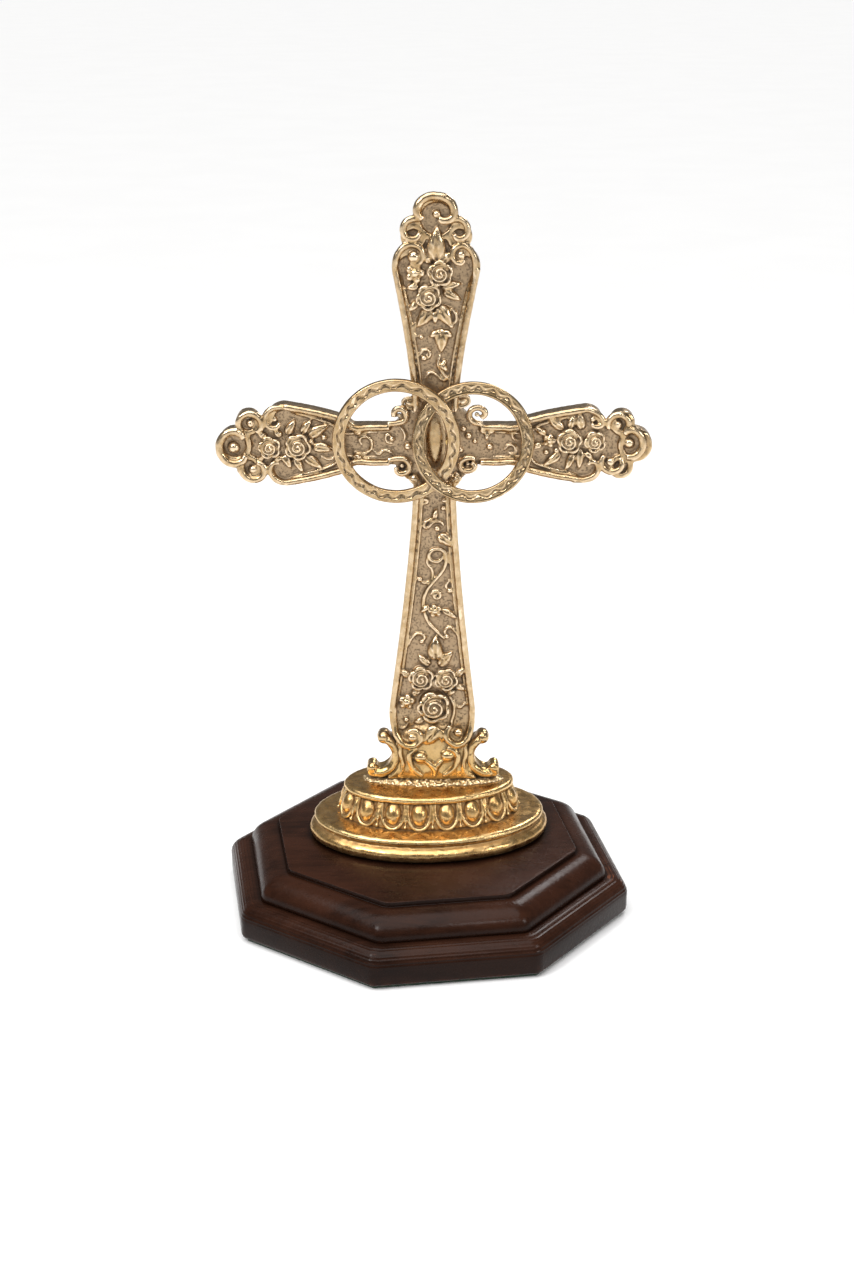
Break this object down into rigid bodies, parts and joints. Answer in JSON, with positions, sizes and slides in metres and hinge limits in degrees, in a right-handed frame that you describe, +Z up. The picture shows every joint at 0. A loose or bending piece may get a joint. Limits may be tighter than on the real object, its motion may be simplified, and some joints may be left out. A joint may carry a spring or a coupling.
{
  "type": "table cross with linked rings",
  "caption": "Standing gilt Latin cross with scroll and rose relief and linked rings in front of the crossing, on an oval egg-and-dart pedestal and a stepped octagonal wooden plinth.",
  "frame": {"origin": "middle of the plinth's underside, on the surface that the object stands on", "axes": "+Z up, +X along the cross arms to the right as seen from the front, -Y out of the cross's front"},
  "size_m": [0.1404, 0.1368, 0.2364],
  "materials": {
    "felt": "short wool felt",
    "dark_wood": "dark mahogany stain under semi-gloss lacquer",
    "steel": "bright zinc plate",
    "brass": "turned brass",
    "gold_leaf": "warm gold leaf, rubbed, with brown patina in the recesses",
    "gilded_putty": "rough gilded bedding putty",
    "antique_gold": "antique pale gold, umber patina in the recesses",
    "ring_gold": "antique pale gold with an engraved wavy groove"
  },
  "bodies": {
    "root": {"felt_pad": "felt", "plinth_lower": "dark_wood", "plinth_upper": "dark_wood", "board_screws": "steel", "tie_nut": "steel", "tie_washer": "steel", "tie_rod": "steel", "locating_pins": "brass", "pedestal_foot": "gold_leaf", "egg_band": "gold_leaf", "pedestal_cap": "gold_leaf", "glue_bed": "gilded_putty", "cross_body": "antique_gold", "scroll_bracket_left": "antique_gold", "scroll_bracket_right": "antique_gold", "ring_left": "ring_gold", "ring_right": "ring_gold", "ring_pegs": "brass"}
  },
  "joints": []
}
